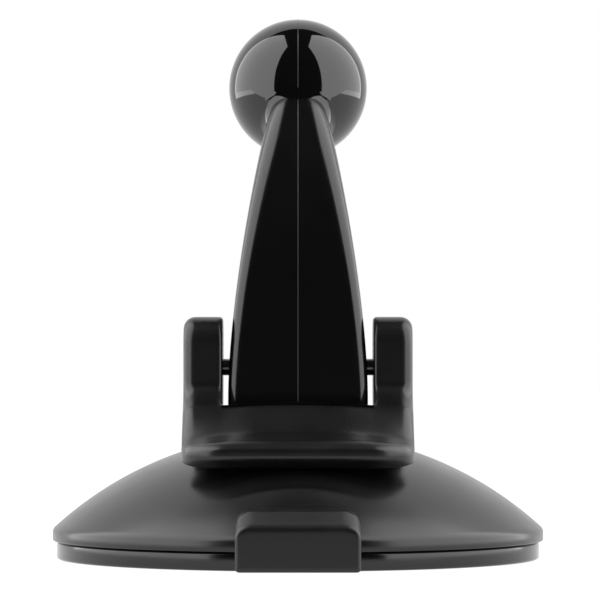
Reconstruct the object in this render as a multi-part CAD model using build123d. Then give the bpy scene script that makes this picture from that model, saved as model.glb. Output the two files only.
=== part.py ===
from build123d import *
import math
import os

# Windscreen suction mount with a ball stud, millimetres.
# Origin: centre of the suction face on the glass. +Z points away from the glass,
# -Y is the side with the lever's toe and the pull tab. Modelled locked.

# ---- driving dimensions -------------------------------------------------
# dome housing
dome_d = 59.0
dome_top_z = 15.15
skirt_top_z = 3.6
dome_wall = 2.0
crown_t = 5.15
crown_floor_t = 2.2
boss_inset = 0.2
# suction disc
rim_h = 2.2
rim_step = 0.5
rim_flat_w = 4.0
seal_w = 6.0
hub_wall = 2.0
rubber_under = 1.6
rubber_over = 0.6
tab_w = 14.4
tab_neck_w = 15.5
tab_proud = 1.8
tab_front_h = 5.2
tab_h = 6.9
tab_slope_run = 2.6
tab_top_run = 6.5
tab_corner_r = 2.0
tab_lap = 1.5
# core plate, pull post and screw
plate_d = 26.0
plate_t = 1.2
post_d = 6.0
post_over_pin = 3.0
post_chamfer = 0.5
flange_w = 2.0
flange_t = 1.0
core_screw_d = 2.5
core_screw_head_d = 4.6
core_screw_len = 7.0
core_driver_d = 1.4
core_driver_depth = 0.5
# return spring and washer
spring_wire = 0.6
spring_post_gap = 0.5
spring_turns = 4
washer_t = 0.4
washer_step = 0.3
# lever mechanism
stroke = 2.3
lever_swing = 75.0
pin_d = 2.0
pin_inset = 0.5
pin_chamfer = 0.2
pin_z = 23.0
cam_reach = 8.3
ear_gap = 18.1
lever_w = 27.4
ear_top = 6.05
ear_front = 6.0
ear_corner_r = 3.2
ear_edge_r = 1.0
toe_reach = 19.7
toe_bottom_z = 11.4
toe_crest_z = 14.7
toe_gap = 0.85
toe_bottom_r = 1.3
under_rear_y = 9.0
under_mid_y = 13.0
under_front_y = 16.5
toe_crest_back = 1.5
toe_crest_fall = 1.1
toe_valley_back = 2.7
toe_valley_drop = 0.35
toe_slope_back = 5.6
toe_slope_rise = 0.75
web_rear = 9.3
web_top_z = 18.6
web_scoop_rise = 2.4
plan_corner_r = 4.5
lever_blank = 60
lever_gap_cut = 40
# wear pads
pad_w = 4.2
pad_l = 7.0
pad_y = -1.0
pad_floor_t = 1.0
pad_edge_r = 0.4
# arm and ball
ball_d = 17.0
ball_y = 13.0
ball_z = 57.2
foot_w = 16.7
foot_wall_front = 3.3
foot_wall_back = 2.7
foot_h = 7.3
front_straight_z = 33.0
back_straight_z = 30.0
front_bend_along = 17.5
front_bend_swell = 0.5
back_bend_along = 13.0
back_bend_swell = 0.4
arm_edge_r = 1.1
arm_head_room = 1.0
neck_t = 6.4
neck_lean = 52.0
neck_ring_d = 10.0
neck_w = 5.4
neck_top_drop = 0.2
neck_sink = 1.0
collar_len = 3.2
# the arm's half width at shares of its height above the foot
arm_taper = [(0.25, 0.93), (0.49, 0.79), (0.73, 0.60), (0.88, 0.46)]
# screws that hold the arm
arm_screw_d = 2.5
arm_screw_len = 8.8
arm_screw_head_d = 4.2
arm_screw_head_t = 1.6
arm_screw_chamfer = 0.4
arm_screw_inset_x = 2.45
arm_screw_inset_y = 2.7
arm_driver_d = 1.6
arm_driver_depth = 0.9
# ---- clearances ---------------------------------------------------------
slide_c = 0.05
run_c = 0.03
press_c = 0.01
screw_c = 0.05
touch_c = 0.02
cam_c = 0.05
tab_c = 0.15
screw_tip_c = 0.5
edge_r = 0.35
# how far a cut runs past the face that it opens
past = 1.0

# ---- values that follow -------------------------------------------------
dome_r = dome_d / 2
dome_rise = dome_top_z - skirt_top_z
sphere_r = (dome_r**2 + dome_rise**2) / (2 * dome_rise)
sphere_z = dome_top_z - sphere_r
crown_under_z = dome_top_z - crown_t
foot_seat_z = crown_under_z + crown_floor_t
disc_r = dome_r - rim_step
rim_flat_r = disc_r - rim_flat_w
face_inner_r = disc_r - seal_w
hub_r = plate_d / 2 + hub_wall
tab_reach = dome_r + tab_proud
plate_z = stroke + rubber_under
plate_top_z = plate_z + plate_t
hub_top_z = plate_top_z + rubber_over
flange_d = post_d + 2 * flange_w
flange_top_z = plate_top_z + flange_t
washer_d = flange_d - 2 * washer_step
washer_top_z = flange_top_z + washer_t
spring_mean_r = post_d / 2 + spring_post_gap + spring_wire / 2
bore_r = post_d / 2 + slide_c
cam_land_z = pin_z - cam_reach
post_top_z = pin_z + post_over_pin
cam_slope = stroke / math.radians(lever_swing)
foot_front = post_d / 2 + foot_wall_front
foot_back = post_d / 2 + foot_wall_back
foot_depth = foot_front + foot_back
foot_y = (foot_back - foot_front) / 2
foot_top_z = foot_seat_z + foot_h
crown_boss_r = lever_w / 2 - boss_inset
pad_x = (ear_gap + lever_w) / 4
pad_seat_z = crown_under_z + pad_floor_t
pad_top_z = cam_land_z - cam_c
arm_screw_x = foot_w / 2 - arm_screw_inset_x
arm_screw_y = foot_depth / 2 - arm_screw_inset_y
arm_screw_tip_z = crown_under_z + arm_screw_len
lean = math.radians(neck_lean)


def dome_height(r):
    """Height of the dome's outer sphere at a distance r from the axis."""
    return sphere_z + math.sqrt(sphere_r**2 - r**2)


def cylinder(r, z0, z1, x=0, y=0):
    """A round bar or hole along Z between two heights."""
    return Pos(x, y, (z0 + z1) / 2) * Cylinder(r, z1 - z0)


def cross_hole(r, z, length):
    """A round bar along X through the axis at height z."""
    return Pos(0, 0, z) * Rot(0, 90, 0) * Cylinder(r, length)


def arm_screw_places():
    return [(sx * arm_screw_x, sy * arm_screw_y + foot_y) for sx in (-1, 1) for sy in (-1, 1)]


def foot_outline(grow):
    """The arm foot's plan outline, grown by a clearance."""
    return Pos(0, foot_y) * RectangleRounded(foot_w + 2 * grow, foot_depth + 2 * grow, arm_edge_r + grow)


def pad_block(side, grow, z0, z1):
    """A wear pad or its seat in the dome, on one side."""
    block = Box(pad_w + 2 * grow, pad_l + 2 * grow, z1 - z0)
    return Pos(side * pad_x, pad_y, (z0 + z1) / 2) * block


def sphere_cap(r_top, r_edge, z_bottom):
    """A dome of the outer sphere's centre, cut to a cylinder and a flat bottom."""
    ball = Pos(0, 0, sphere_z) * Sphere(r_top)
    return ball & cylinder(r_edge, z_bottom, dome_top_z + past)


def make_dome_housing():
    outer = sphere_cap(sphere_r, dome_r, rim_h)
    crease = outer.edges().filter_by(GeomType.CIRCLE).group_by(Axis.Z)
    outer = fillet(crease[1], edge_r)
    outer = fillet(outer.edges().filter_by(GeomType.CIRCLE).group_by(Axis.Z)[0], edge_r / 2)
    inner = sphere_cap(sphere_r - dome_wall, dome_r - dome_wall, rim_h - past)
    inner -= cylinder(crown_boss_r, crown_under_z, dome_top_z + past)
    body = outer - inner
    body -= extrude(Plane.XY.offset(foot_seat_z) * foot_outline(slide_c), dome_top_z)
    body -= cylinder(bore_r, crown_under_z - past, dome_top_z)
    for x, y in arm_screw_places():
        body -= cylinder(arm_screw_d / 2 + screw_c, crown_under_z - past, foot_seat_z + past, x, y)
    for side in (-1, 1):
        body -= pad_block(side, slide_c, pad_seat_z, dome_top_z + past)
    return body


def make_suction_disc():
    face_flat_r = plate_d / 2 - 1
    hole_r = flange_d / 2 + slide_c
    with BuildSketch(Plane.XZ) as section:
        with BuildLine():
            Polyline((0, stroke), (face_flat_r, stroke))
            Spline((face_flat_r, stroke), (face_inner_r, 0), tangents=[(1, 0), (1, -0.02)])
            Polyline(
                (face_inner_r, 0),
                (disc_r, 0),
                (disc_r, rim_h),
                (rim_flat_r, rim_h),
                (hub_r, hub_top_z),
                (hole_r, hub_top_z),
                (hole_r, plate_top_z),
                (plate_d / 2, plate_top_z),
                (plate_d / 2, plate_z),
                (0, plate_z),
                (0, stroke),
            )
        make_face()
    disc = revolve(section.sketch, Axis.Z)
    rings = disc.edges().filter_by(GeomType.CIRCLE)
    disc = fillet(rings.group_by(SortBy.RADIUS)[-1], edge_r)
    return disc + make_pull_tab()


def make_pull_tab():
    """The upstanding tongue that joins the rim and follows the dome's edge."""
    root_y = disc_r - tab_lap
    neck_y = tab_reach - 1
    with BuildSketch(Plane.YZ) as side:
        with BuildLine():
            Polyline(
                (-root_y, 0),
                (-tab_reach, 0),
                (-tab_reach, tab_front_h),
                (-tab_reach + tab_slope_run, tab_h),
                (-tab_reach + tab_top_run, tab_h),
                (-root_y, rim_h),
                (-root_y, 0),
            )
        make_face()
    tongue = extrude(side.sketch, tab_w / 2, both=True)
    front = Pos(0, tab_h / 2) * Rectangle(tab_w, tab_h)
    front = fillet(front.vertices().group_by(Axis.Y)[-1], tab_corner_r)
    tongue &= extrude(Plane.XZ * front, tab_reach + past)
    neck = Pos(0, -(root_y + neck_y) / 2, rim_h / 2) * Box(tab_neck_w, neck_y - root_y, rim_h)
    hollow = sphere_cap(sphere_r + tab_c, dome_r + tab_c, rim_h)
    return tongue + neck - hollow


def make_core_plate():
    plate = cylinder(plate_d / 2, plate_z, plate_top_z)
    plate -= core_screw_body(screw_c)
    return plate


def core_screw_body(grow):
    """The countersunk screw, or the hole for it when grown."""
    head_t = (core_screw_head_d - core_screw_d) / 2
    head = Pos(0, 0, plate_z + head_t / 2) * Cone(
        core_screw_head_d / 2 + grow, core_screw_d / 2 + grow, head_t
    )
    return head + cylinder(core_screw_d / 2 + grow, plate_z, plate_z + core_screw_len + grow)


def make_core_screw():
    driver = cylinder(core_driver_d / 2, plate_z - past, plate_z + core_driver_depth)
    return core_screw_body(0) - driver


def make_pull_post():
    post = cylinder(post_d / 2, plate_top_z, post_top_z)
    post = chamfer(post.edges().group_by(Axis.Z)[-1], post_chamfer)
    post += cylinder(flange_d / 2, plate_top_z, flange_top_z)
    post -= cross_hole(pin_d / 2 + press_c, pin_z, post_d + 2 * past)
    thread_end_z = plate_z + core_screw_len + screw_tip_c
    post -= cylinder(core_screw_d / 2 + press_c, plate_top_z - past, thread_end_z)
    return post


def make_spring_washer():
    washer = cylinder(washer_d / 2, flange_top_z, washer_top_z)
    return washer - cylinder(bore_r, flange_top_z - past, washer_top_z + past)


def make_return_spring():
    low = washer_top_z + spring_wire / 2 + touch_c
    high = crown_under_z - spring_wire / 2 - touch_c
    path = Pos(0, 0, low) * Helix((high - low) / spring_turns, high - low, spring_mean_r)
    section = Plane(path @ 0, z_dir=path % 0) * Circle(spring_wire / 2)
    return sweep(section, path)


def make_axle_pin():
    pin = cross_hole(pin_d / 2, pin_z, lever_w - 2 * pin_inset)
    return chamfer(pin.edges().filter_by(GeomType.CIRCLE), pin_chamfer)


def cam_point(angle):
    """A point of the cam, from the pin's centre, whose height falls evenly with the swing."""
    reach = cam_reach - cam_slope * angle
    y = reach * math.sin(angle) - cam_slope * math.cos(angle)
    z = -reach * math.cos(angle) - cam_slope * math.sin(angle)
    return (y, pin_z + z)


def lever_profile():
    """The lever's outline seen from its side: ear, cam, and toe over the dome."""
    swing = math.radians(lever_swing)
    cam = [cam_point(swing * i / 6) for i in range(7)]
    back_y = cam_reach - stroke
    back_rise = (back_y - cam[-1][0]) / math.tan(math.pi / 2 - swing)
    back_low = (back_y, cam[-1][1] + back_rise)
    top_z = pin_z + ear_top
    r = ear_corner_r
    under = [(-y, dome_height(y) + toe_gap) for y in (under_rear_y, under_mid_y, under_front_y)]
    ear_low = (-ear_front, web_top_z + web_scoop_rise)
    valley = (-toe_reach + toe_valley_back, toe_crest_z - toe_valley_drop)
    lip_top = (-toe_reach, toe_crest_z - toe_crest_fall)
    lip_low = (-toe_reach, toe_bottom_z + toe_bottom_r)
    lip_under = (-toe_reach + toe_bottom_r, toe_bottom_z)
    with BuildSketch(Plane.YZ) as face:
        with BuildLine():
            Spline(*cam)
            Polyline(cam[-1], back_low, (back_y, top_z - r))
            RadiusArc((back_y, top_z - r), (back_y - r, top_z), -r)
            Line((back_y - r, top_z), (-ear_front + r, top_z))
            RadiusArc((-ear_front + r, top_z), (-ear_front, top_z - r), -r)
            Line((-ear_front, top_z - r), ear_low)
            Spline(
                ear_low,
                (-web_rear, web_top_z),
                (-toe_reach + toe_slope_back, toe_crest_z + toe_slope_rise),
                valley,
                tangents=[(0, -1), (-1, -0.12)],
            )
            Spline(
                valley,
                (-toe_reach + toe_crest_back, toe_crest_z),
                lip_top,
                tangents=[(-1, -0.12), (0, -1)],
            )
            Line(lip_top, lip_low)
            RadiusArc(lip_low, lip_under, -toe_bottom_r)
            Line(lip_under, under[2])
            Spline(under[2], under[1], under[0])
            Polyline(under[0], (-ear_front, cam_land_z), cam[0])
        make_face()
    return face.sketch


def make_lever():
    body = extrude(lever_profile(), lever_w / 2, both=True)
    plan = Rectangle(lever_w, lever_blank)
    plan = fillet(plan.vertices().group_by(Axis.Y)[0], plan_corner_r)
    body &= extrude(Pos(0, lever_blank / 2 - toe_reach) * plan, lever_blank)
    body = fillet(lever_long_edges(body), ear_edge_r)
    slot = Pos(0, -web_rear + lever_gap_cut / 2, pin_z) * Box(ear_gap, lever_gap_cut, lever_gap_cut)
    body -= slot
    body -= cross_hole(pin_d / 2 + run_c, pin_z, lever_w + 2 * past)
    return body


def lever_long_edges(body):
    """The rounded corners of the ears on both flanks. A fillet follows on along the toe."""
    def on_flank(edge):
        return abs(abs((edge @ 0.5).X) - lever_w / 2) < 0.01

    return body.edges().filter_by(GeomType.CIRCLE).filter_by(on_flank)


def make_cam_pad(side):
    pad = pad_block(side, 0, pad_seat_z, pad_top_z)
    return fillet(pad.edges().filter_by(Axis.X).group_by(Axis.Z)[-1], pad_edge_r)


def arm_side_profile():
    """The arm seen from its side: an upright foot that bends back to the neck."""
    along = (math.sin(lean), math.cos(lean))
    across = (-math.cos(lean), math.sin(lean))

    def from_ball(distance, side):
        y = ball_y - along[0] * distance + across[0] * side
        return (y, ball_z - along[1] * distance + across[1] * side)

    neck_end = ball_d / 2 - neck_sink
    end_front = from_ball(neck_end, neck_t / 2)
    end_back = from_ball(neck_end, -neck_t / 2)
    bend_front = from_ball(front_bend_along, neck_t / 2 + front_bend_swell)
    bend_back = from_ball(back_bend_along, -neck_t / 2 - back_bend_swell)
    front_low = (-foot_front, foot_seat_z)
    front_high = (-foot_front, front_straight_z)
    back_low = (foot_back, foot_seat_z)
    back_high = (foot_back, back_straight_z)
    with BuildSketch(Plane.YZ) as face:
        with BuildLine():
            Line(front_low, front_high)
            Spline(front_high, bend_front, end_front, tangents=[(0, 1), along])
            Line(end_front, end_back)
            Spline(end_back, bend_back, back_high, tangents=[(-along[0], -along[1]), (0, -1)])
            Polyline(back_high, back_low, front_low)
        make_face()
    return face.sketch


def arm_front_profile():
    """The arm seen from the front: parallel at the foot, then a long convex taper."""
    half = foot_w / 2
    top = ball_z - neck_top_drop
    span = top - foot_top_z
    right = [(half * width, foot_top_z + span * height) for height, width in arm_taper]
    left = [(-x, z) for x, z in reversed(right)]
    tip = (neck_w / 2, top)
    with BuildSketch(Plane.XZ) as face:
        with BuildLine():
            Polyline((-half, foot_top_z), (-half, foot_seat_z), (half, foot_seat_z), (half, foot_top_z))
            Spline((half, foot_top_z), *right, tip, tangents=[(0, 1), (-0.35, 1)])
            Line(tip, (-tip[0], tip[1]))
            Spline((-tip[0], tip[1]), *left, (-half, foot_top_z), tangents=[(-0.35, -1), (0, -1)])
        make_face()
    return face.sketch


def make_neck_collar():
    """The flare between the neck and the ball, turned about the neck's axis."""
    ring_r = neck_ring_d / 2
    ring_s = math.sqrt((ball_d / 2) ** 2 - ring_r**2)
    root_r = neck_w / 2
    axis = Plane(origin=(0, ball_y, ball_z), z_dir=(0, math.sin(lean), math.cos(lean)), x_dir=(1, 0, 0))
    with BuildSketch(Plane.XZ) as section:
        with BuildLine():
            Polyline((0, -ring_s - collar_len), (root_r, -ring_s - collar_len))
            Spline(
                (root_r, -ring_s - collar_len),
                (ring_r, -ring_s),
                tangents=[(0, 1), (1, 0.8)],
            )
            Polyline((ring_r, -ring_s), (0, -ring_s), (0, -ring_s - collar_len))
        make_face()
    return axis * revolve(section.sketch, Axis.Z)


def arm_long_edges(body):
    """The edges that run up the arm and round its bend, without those of its two end faces."""
    def runs_up(edge):
        middle = edge @ 0.5
        return middle.Z > foot_seat_z + past / 2 and abs(middle.X) > neck_w / 4
    return body.edges().filter_by(runs_up)


def make_arm():
    body = extrude(arm_side_profile(), foot_w, both=True)
    body &= extrude(arm_front_profile(), ball_y + ball_d, both=True)
    body = fillet(arm_long_edges(body), arm_edge_r)
    body += make_neck_collar()
    body += Pos(0, ball_y, ball_z) * Sphere(ball_d / 2)
    body -= cylinder(bore_r, foot_seat_z - past, post_top_z + arm_head_room)
    for z in (pin_z, pin_z - stroke):
        body -= cross_hole(pin_d / 2 + slide_c, z, foot_w + 2 * past)
    slot = Box(foot_w + 2 * past, pin_d + 2 * slide_c, stroke)
    body -= Pos(0, 0, pin_z - stroke / 2) * slot
    for x, y in arm_screw_places():
        thread_end_z = arm_screw_tip_z + screw_tip_c
        body -= cylinder(arm_screw_d / 2 + press_c, foot_seat_z - past, thread_end_z, x, y)
    return body


def make_arm_screws():
    head_z = crown_under_z - arm_screw_head_t
    screws = []
    for x, y in arm_screw_places():
        shank = cylinder(arm_screw_d / 2, crown_under_z, arm_screw_tip_z, x, y)
        head = cylinder(arm_screw_head_d / 2, head_z, crown_under_z, x, y)
        head = chamfer(head.edges().group_by(Axis.Z)[0], arm_screw_chamfer)
        driver = cylinder(arm_driver_d / 2, head_z - past, head_z + arm_driver_depth, x, y)
        screws.append(head + shank - driver)
    return Compound(children=screws)


def save(name, shape):
    export_step(shape, f"parts/{name}.step")


def main():
    os.makedirs("parts", exist_ok=True)
    save("dome_housing", make_dome_housing())
    save("suction_disc", make_suction_disc())
    save("core_plate", make_core_plate())
    save("core_screw", make_core_screw())
    save("pull_post", make_pull_post())
    save("spring_washer", make_spring_washer())
    save("return_spring", make_return_spring())
    save("axle_pin", make_axle_pin())
    for name, side in (("cam_pad_right", 1), ("cam_pad_left", -1)):
        save(name, make_cam_pad(side))
    save("arm_screws", make_arm_screws())
    save("lever", make_lever())
    save("arm", make_arm())


main()
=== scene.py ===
# %% [markdown]
# # A windscreen suction mount, finished in Blender
#
# The object is the lower half of a car phone mount: a domed housing on a soft suction disc,
# a cam lever that pulls the disc tight, and a raked arm that ends in a ball stud. The
# construction comes from the CAD model. This script gives each piece the surface that the
# moulded one has, and never moves a CAD part.

# %% Load the frame
import bpy
import bmesh
import math
import numpy as np
from mathutils import Matrix, Vector, geometry


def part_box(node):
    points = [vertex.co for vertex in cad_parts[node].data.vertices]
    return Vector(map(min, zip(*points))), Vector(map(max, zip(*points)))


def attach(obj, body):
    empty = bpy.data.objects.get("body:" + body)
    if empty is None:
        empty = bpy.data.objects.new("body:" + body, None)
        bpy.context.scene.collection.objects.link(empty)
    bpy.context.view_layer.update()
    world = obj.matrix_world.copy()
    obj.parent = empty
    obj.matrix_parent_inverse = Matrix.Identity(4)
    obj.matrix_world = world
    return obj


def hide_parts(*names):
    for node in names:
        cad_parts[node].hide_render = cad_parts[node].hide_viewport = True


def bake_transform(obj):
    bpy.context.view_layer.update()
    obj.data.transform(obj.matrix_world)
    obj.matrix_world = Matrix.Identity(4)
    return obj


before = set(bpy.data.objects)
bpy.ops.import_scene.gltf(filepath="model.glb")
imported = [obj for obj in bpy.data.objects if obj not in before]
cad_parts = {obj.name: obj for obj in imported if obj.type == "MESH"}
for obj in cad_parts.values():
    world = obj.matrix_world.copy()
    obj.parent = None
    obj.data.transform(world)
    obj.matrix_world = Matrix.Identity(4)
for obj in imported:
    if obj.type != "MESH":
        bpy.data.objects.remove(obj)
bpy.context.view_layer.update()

# %% [markdown]
# ## Sizes
#
# Lengths are worked out from the boxes of the CAD nodes, in millimetres because that is how
# such a product is drawn. `MM` turns them to Blender's metres in one place.

# %% Sizes from the CAD boxes
MM = 0.001


def box_mm(node):
    low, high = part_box(node)
    return np.array(low) / MM, np.array(high) / MM


dome_low, dome_high = box_mm("dome_housing")
disc_low, disc_high = box_mm("suction_disc")
lever_low, lever_high = box_mm("lever")
arm_low, arm_high = box_mm("arm")
pin_low, pin_high = box_mm("axle_pin")
_, plate_high = box_mm("core_plate")
pad_low, pad_high = box_mm("cam_pad_right")

DOME_R = dome_high[0]
RIM_H = dome_low[2]
DOME_TOP = 15.15
SKIRT_H = 1.4
SKIRT_TOP = RIM_H + SKIRT_H
DOME_RISE = DOME_TOP - SKIRT_TOP
SPHERE_R = (DOME_R**2 + DOME_RISE**2) / (2 * DOME_RISE)
SPHERE_Z = DOME_TOP - SPHERE_R
DISC_R = disc_high[0]
PIN_Z = (pin_low[2] + pin_high[2]) / 2
BALL_R = arm_high[0]
BALL_C = (0.0, arm_high[1] - BALL_R, arm_high[2] - BALL_R)
PIN_R = 1.0
POST_R = 3.0
FIT = 0.05
print("dome", DOME_R, "ball", BALL_C, BALL_R)


def dome_height(r):
    """Height of the dome's outside at a distance from its axis."""
    return SPHERE_Z + math.sqrt(SPHERE_R**2 - r**2)


# %% [markdown]
# ## Two helpers for materials
#
# Colours are written as the sRGB hex value that a paint chart would give. Blender's shaders
# work in linear light, so one function converts them. The other adds a node with its
# settings and links, which keeps each recipe short enough to read in one go.

# %% Colour and node helpers
def linear(hex_colour):
    """sRGB hex to a linear RGBA tuple."""
    parts = [int(hex_colour[i : i + 2], 16) / 255 for i in (1, 3, 5)]
    return tuple(c / 12.92 if c <= 0.04045 else ((c + 0.055) / 1.055) ** 2.4 for c in parts) + (1.0,)


def add(tree, kind, settings=None, **links):
    """Adds a node. Settings are properties or input values, links are input name = socket."""
    node = tree.nodes.new(kind)
    for key, value in (settings or {}).items():
        if isinstance(key, str) and hasattr(node, key):
            setattr(node, key, value)
        else:
            node.inputs[key].default_value = value
    for name, socket in links.items():
        key = name.replace("_", " ")
        tree.links.new(socket, node.inputs[key])
    return node


def new_material(name):
    material = bpy.data.materials.new(name)
    material.use_nodes = True
    material.node_tree.nodes.clear()
    return material, material.node_tree


# %% [markdown]
# ## Moulded plastic
#
# All the black pieces are injection moulded, but their tools were finished differently. A
# fine spark-eroded tool leaves a grain about a tenth of a millimetre across, which breaks up
# a highlight. A polished tool leaves none, only a faint waviness where the plastic shrank.
# One recipe covers both: the grain's size and depth, the waviness, and the roughness that
# they sit on. The grain is drawn a little coarser than the real one so that it shows.

# %% Moulded plastic recipe
SHRINK_MM = 9.0
HANDLED_MM = 4.0


def moulded(name, colour, roughness, spread, grain_mm, grain_depth_mm, wave_depth_mm=0.004, ior=1.52):
    """A moulded plastic or vinyl: near-black body, dielectric gloss, mould grain and shrink."""
    material, tree = new_material(name)
    place = add(tree, "ShaderNodeTexCoord").outputs["Object"]
    grain = add(tree, "ShaderNodeTexNoise", {"Scale": 1 / (grain_mm * MM), "Detail": 2.0}, Vector=place)
    shrink = add(tree, "ShaderNodeTexNoise", {"Scale": 1 / (SHRINK_MM * MM), "Detail": 1.0}, Vector=place)
    handled = add(tree, "ShaderNodeTexNoise", {"Scale": 1 / (HANDLED_MM * MM), "Detail": 4.0}, Vector=place)
    rough = add(
        tree,
        "ShaderNodeMapRange",
        {"From Min": 0.3, "From Max": 0.7, "To Min": roughness - spread, "To Max": roughness + spread},
        Value=handled.outputs["Fac"],
    )
    tint = add(tree, "ShaderNodeMix", {"data_type": "RGBA"})
    base = linear(colour)
    tint.inputs[6].default_value = tuple(c * 0.8 for c in base[:3]) + (1.0,)
    tint.inputs[7].default_value = tuple(c * 1.25 for c in base[:3]) + (1.0,)
    tree.links.new(shrink.outputs["Fac"], tint.inputs[0])
    wave = add(
        tree,
        "ShaderNodeBump",
        {"Strength": 1.0, "Distance": wave_depth_mm * MM},
        Height=shrink.outputs["Fac"],
    )
    bump = add(
        tree,
        "ShaderNodeBump",
        {"Strength": 1.0, "Distance": grain_depth_mm * MM},
        Height=grain.outputs["Fac"],
        Normal=wave.outputs["Normal"],
    )
    shader = add(
        tree,
        "ShaderNodeBsdfPrincipled",
        {"IOR": ior},
        Base_Color=tint.outputs[2],
        Roughness=rough.outputs["Result"],
        Normal=bump.outputs["Normal"],
    )
    out = add(tree, "ShaderNodeOutputMaterial")
    tree.links.new(shader.outputs["BSDF"], out.inputs["Surface"])
    return material


dome_abs = moulded("dome_abs_satin_moulded", "#0b0b0c", 0.25, 0.02, 0.16, 0.0012)
lever_nylon = moulded("lever_nylon_satin_moulded", "#101011", 0.3, 0.03, 0.2, 0.001, 0.006)
arm_pc = moulded("arm_polycarbonate_satin_moulded", "#090909", 0.2, 0.02, 0.14, 0.0007)
ball_pc = moulded("ball_polycarbonate_polished", "#080809", 0.05, 0.01, 0.3, 0.0001, 0.0008, ior=1.58)
rim_vinyl = moulded("rim_vinyl_gloss_moulded", "#0a0a0b", 0.14, 0.03, 0.4, 0.0008, 0.006)
tab_vinyl = moulded("tab_vinyl_satin_moulded", "#0b0b0c", 0.36, 0.03, 0.22, 0.002)
pad_acetal = moulded("pad_acetal_smooth_moulded", "#101011", 0.3, 0.03, 0.3, 0.001)
print("plastics", [m.name for m in bpy.data.materials])

# %% [markdown]
# ## Steel
#
# The pin, post, plate, spring and screws are drawn, turned or stamped steel. Turning and
# drawing leave fine lines across the way the piece was worked, so the noise is stretched
# along one axis before it drives the roughness and the bump.

# %% Steel recipe
def worked_steel(name, colour, roughness, stretch, line_mm=0.12):
    """Steel with fine working lines; stretch gives how long the lines run along X, Y and Z."""
    material, tree = new_material(name)
    place = add(tree, "ShaderNodeTexCoord").outputs["Object"]
    scale = add(tree, "ShaderNodeMapping", {"Scale": tuple(1 / s for s in stretch)}, Vector=place)
    lines = add(
        tree,
        "ShaderNodeTexNoise",
        {"Scale": 1 / (line_mm * MM), "Detail": 3.0},
        Vector=scale.outputs["Vector"],
    )
    rough = add(
        tree,
        "ShaderNodeMapRange",
        {"From Min": 0.3, "From Max": 0.7, "To Min": roughness - 0.06, "To Max": roughness + 0.08},
        Value=lines.outputs["Fac"],
    )
    bump = add(tree, "ShaderNodeBump", {"Strength": 0.6, "Distance": 0.004 * MM}, Height=lines.outputs["Fac"])
    shader = add(
        tree,
        "ShaderNodeBsdfPrincipled",
        {"Metallic": 1.0, "Base Color": linear(colour)},
        Roughness=rough.outputs["Result"],
        Normal=bump.outputs["Normal"],
    )
    out = add(tree, "ShaderNodeOutputMaterial")
    tree.links.new(shader.outputs["BSDF"], out.inputs["Surface"])
    return material


pin_steel = worked_steel("pin_steel_ground", "#8d8d90", 0.3, (1.0, 8.0, 8.0))
post_steel = worked_steel("post_steel_turned_zinc", "#b9babd", 0.32, (8.0, 8.0, 1.0))
spring_steel = worked_steel("spring_steel_drawn", "#a9aaad", 0.28, (1.0, 1.0, 8.0))
screw_steel = worked_steel("screw_steel_zinc", "#c2c3c6", 0.3, (1.0, 1.0, 6.0))


# %% [markdown]
# ## Mesh helpers
#
# Round pieces are turned like on a lathe: a closed outline, spun about Z. The long shapes
# are lofts: a row of rings with as many points each, joined by quads. Every mesh ends in
# one function that merges doubles, turns the faces outwards and marks the sharp edges.

# %% Mesh helpers
def finish_mesh(name, vertices, faces, sharp_deg=32.0):
    """A new object at the origin from millimetre points, faces outwards, smooth but for its sharp edges."""
    mesh = bpy.data.meshes.new(name)
    mesh.from_pydata([tuple(float(c) * MM for c in v) for v in vertices], [], faces)
    shell = bmesh.new()
    shell.from_mesh(mesh)
    bmesh.ops.remove_doubles(shell, verts=shell.verts, dist=0.002 * MM)
    bmesh.ops.dissolve_degenerate(shell, edges=shell.edges, dist=0.001 * MM)
    bmesh.ops.recalc_face_normals(shell, faces=shell.faces)
    shell.to_mesh(mesh)
    shell.free()
    piece = bpy.data.objects.new(name, mesh)
    bpy.context.scene.collection.objects.link(piece)
    smooth(piece, sharp_deg)
    return piece


def smooth(piece, sharp_deg):
    piece.data.polygons.foreach_set("use_smooth", [True] * len(piece.data.polygons))
    piece.data.set_sharp_from_angle(angle=math.radians(sharp_deg))


def lathe(outline, turns=192):
    """Vertices and faces of a closed outline of (r, z) points spun about Z."""
    count = len(outline)
    vertices = []
    for i in range(turns):
        a = 2 * math.pi * i / turns
        vertices += [(r * math.cos(a), r * math.sin(a), z) for r, z in outline]
    faces = []
    for i in range(turns):
        j = (i + 1) % turns
        for k in range(count):
            n = (k + 1) % count
            if outline[k][0] < 1e-6 and outline[n][0] < 1e-6:
                continue
            faces.append((i * count + k, j * count + k, j * count + n, i * count + n))
    return vertices, faces


def arc(centre, radius, start_deg, end_deg, steps=8):
    """Points of an arc, both ends included."""
    angles = np.radians(np.linspace(start_deg, end_deg, steps + 1))
    return [(centre[0] + radius * math.cos(a), centre[1] + radius * math.sin(a)) for a in angles]


def evaluated_copy(piece, name):
    """The piece with its modifiers applied, as a plain mesh object."""
    bpy.context.view_layer.update()
    depsgraph = bpy.context.evaluated_depsgraph_get()
    mesh = bpy.data.meshes.new_from_object(piece.evaluated_get(depsgraph))
    result = bpy.data.objects.new(name, mesh)
    bpy.context.scene.collection.objects.link(result)
    return result


def carve(piece, cutters, sharp_deg=32.0):
    """Cuts the cutters from the piece and removes them."""
    for cutter in cutters:
        change = piece.modifiers.new("carve", "BOOLEAN")
        change.object = cutter
        change.operation = "DIFFERENCE"
        change.solver = "EXACT"
    result = evaluated_copy(piece, piece.name + "_cut")
    name = piece.name
    for old in [piece, *cutters]:
        bpy.data.objects.remove(old)
    result.name = name
    smooth(result, sharp_deg)
    return result


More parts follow.
